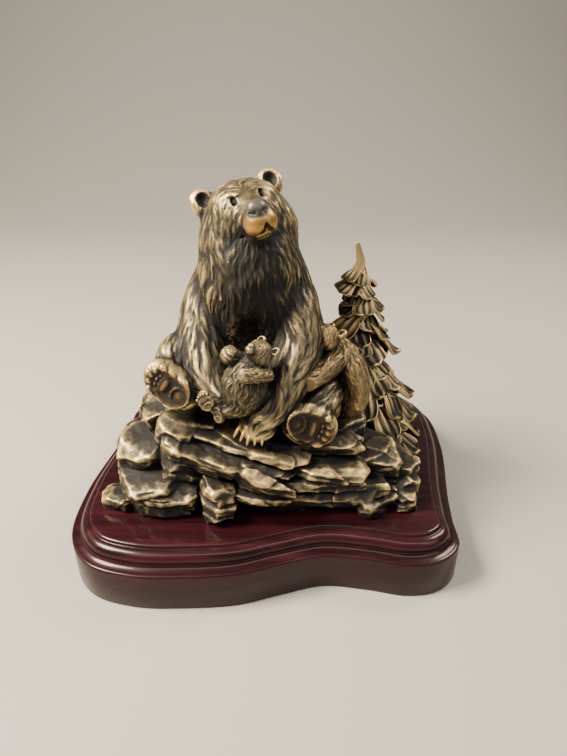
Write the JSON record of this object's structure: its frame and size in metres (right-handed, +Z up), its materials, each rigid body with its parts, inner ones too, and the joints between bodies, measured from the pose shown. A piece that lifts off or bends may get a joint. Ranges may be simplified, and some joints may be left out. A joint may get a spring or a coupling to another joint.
{
  "type": "bear sculpture",
  "caption": "Cast bear family on a wooden base: a mother bear sits on stacked rock slabs with one cub lying in her lap, another leaning on her knee, and a small spruce beside her",
  "frame": {"origin": "middle of the base's underside", "axes": "+Z up, -Y is the front that the mother bear's chest faces, +X is the viewer's right, along the long side of the base"},
  "size_m": [0.3082, 0.2444, 0.2784],
  "materials": {
    "lacquered_wood": "gloss",
    "antique_bronze": "satin"
  },
  "bodies": {
    "root": {"wooden_base": "lacquered_wood", "bear_casting": "antique_bronze"}
  },
  "joints": []
}
